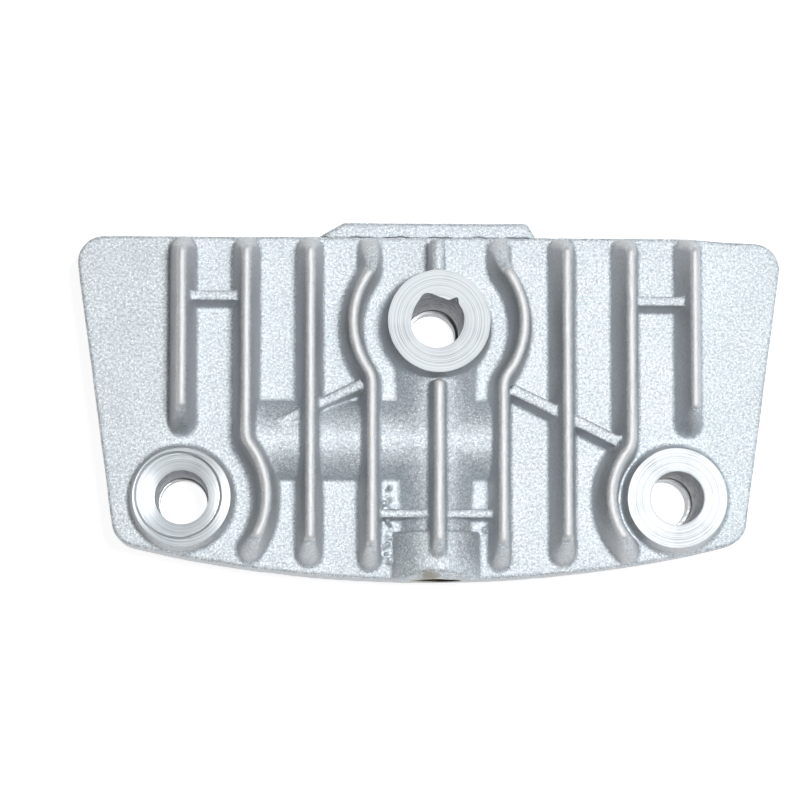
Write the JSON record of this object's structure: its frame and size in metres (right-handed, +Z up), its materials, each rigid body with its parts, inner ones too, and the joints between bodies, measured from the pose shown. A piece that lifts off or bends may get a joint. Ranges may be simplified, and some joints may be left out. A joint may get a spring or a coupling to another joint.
{
  "type": "cylinder head",
  "caption": "Finned air compressor cylinder head with its gaskets, valve plate and reed valves.",
  "frame": {"origin": "on the cylinder's joint face (underside of the lower gasket), under the middle of the head's bounding box", "axes": "+X along the head, to the right with the outlet towards the viewer; +Y from the outlet boss to the intake nose; +Z up through the fins"},
  "size_m": [0.1227, 0.0632, 0.032],
  "materials": {
    "cast_aluminium": "blasted casting with machined boss faces",
    "gasket": "matte compressed fibre",
    "plate_steel": "ground",
    "spring_steel": "polished strip",
    "stop_steel": "pressed sheet",
    "screw_steel": "black oxide",
    "rivet_steel": "satin",
    "pin_steel": "ground and hardened"
  },
  "bodies": {
    "head": {"head_casting": "cast_aluminium", "head_gasket": "gasket", "valve_plate": "plate_steel", "cylinder_gasket": "gasket", "discharge_reed_root": "spring_steel", "discharge_stop": "stop_steel", "discharge_screw_front": "screw_steel", "discharge_screw_back": "screw_steel", "discharge_lock_washer_front": "screw_steel", "discharge_lock_washer_back": "screw_steel", "suction_reed_root": "spring_steel", "suction_rivet_front": "rivet_steel", "suction_rivet_back": "rivet_steel", "locating_pin_left": "pin_steel", "locating_pin_right": "pin_steel"},
    "discharge_tongue": {"discharge_reed": "spring_steel"},
    "suction_tongue": {"suction_reed": "spring_steel"}
  },
  "joints": [
    {"name": "discharge_reed_lift", "type": "hinge", "parent": "head", "child": "discharge_tongue", "pos_m": [-0.024, -0.00735, 0.00595], "axis": [0, -1, 0], "range_deg": [0, 5], "stiffness_Nm_per_rad": 0.02, "springref_deg": -2.86},
    {"name": "suction_reed_drop", "type": "hinge", "parent": "head", "child": "suction_tongue", "pos_m": [0.025, -0.011, 0.00265], "axis": [0, -1, 0], "range_deg": [0, 5.5], "stiffness_Nm_per_rad": 0.02, "springref_deg": -2.86}
  ]
}
